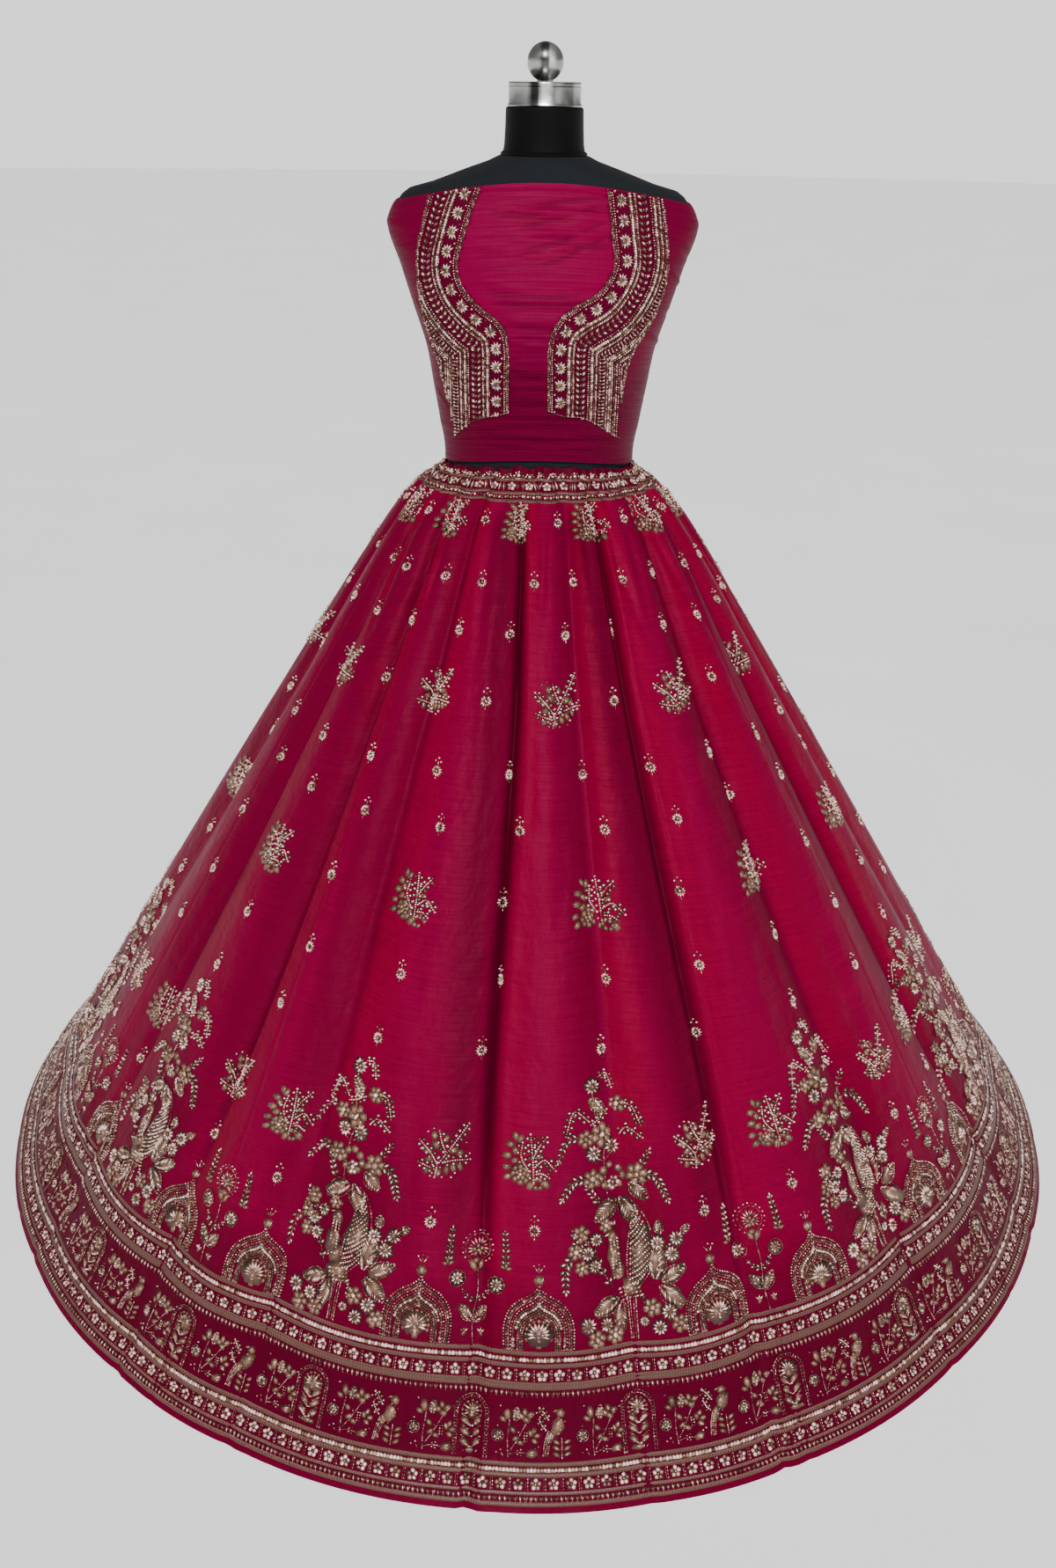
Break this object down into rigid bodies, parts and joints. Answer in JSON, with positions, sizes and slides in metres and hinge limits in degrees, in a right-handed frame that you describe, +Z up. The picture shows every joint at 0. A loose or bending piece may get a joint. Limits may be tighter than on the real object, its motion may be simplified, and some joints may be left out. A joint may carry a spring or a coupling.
{
  "type": "lehenga choli on a dress form",
  "caption": "Full flared embroidered silk skirt and wrapped blouse piece, standing on a limbless dress form with a chrome neck cap.",
  "frame": {"origin": "on the floor, at the centre of the round hem, under the form's pole", "axes": "+Z up the form's pole, -Y towards the front of the garment, +X towards the wearer's left"},
  "size_m": [1.6588, 1.6592, 1.555],
  "materials": {
    "skirt_silk": "shot silk, magenta rose with a red weft, embroidered in antique gold",
    "choli_silk": "magenta silk, embroidered in antique gold",
    "form_cloth": "near-black matt jersey on a hard shell",
    "chrome_metal": "polished",
    "stand_metal": "satin black"
  },
  "bodies": {
    "root": {"cap_ball": "chrome_metal", "choli_back": "choli_silk", "choli_front": "choli_silk", "form_neck": "form_cloth", "form_torso": "form_cloth", "hem_strip_1": "skirt_silk", "hem_strip_2": "skirt_silk", "hem_strip_3": "skirt_silk", "hem_strip_4": "skirt_silk", "kali_01": "skirt_silk", "kali_02": "skirt_silk", "kali_03": "skirt_silk", "kali_04": "skirt_silk", "kali_05": "skirt_silk", "kali_06": "skirt_silk", "kali_07": "skirt_silk", "kali_08": "skirt_silk", "kali_09": "skirt_silk", "kali_10": "skirt_silk", "kali_11": "skirt_silk", "kali_12": "skirt_silk", "neck_cap": "chrome_metal", "stand_base": "stand_metal", "stand_pole": "stand_metal", "waistband_back": "skirt_silk", "waistband_front": "skirt_silk"}
  },
  "joints": []
}
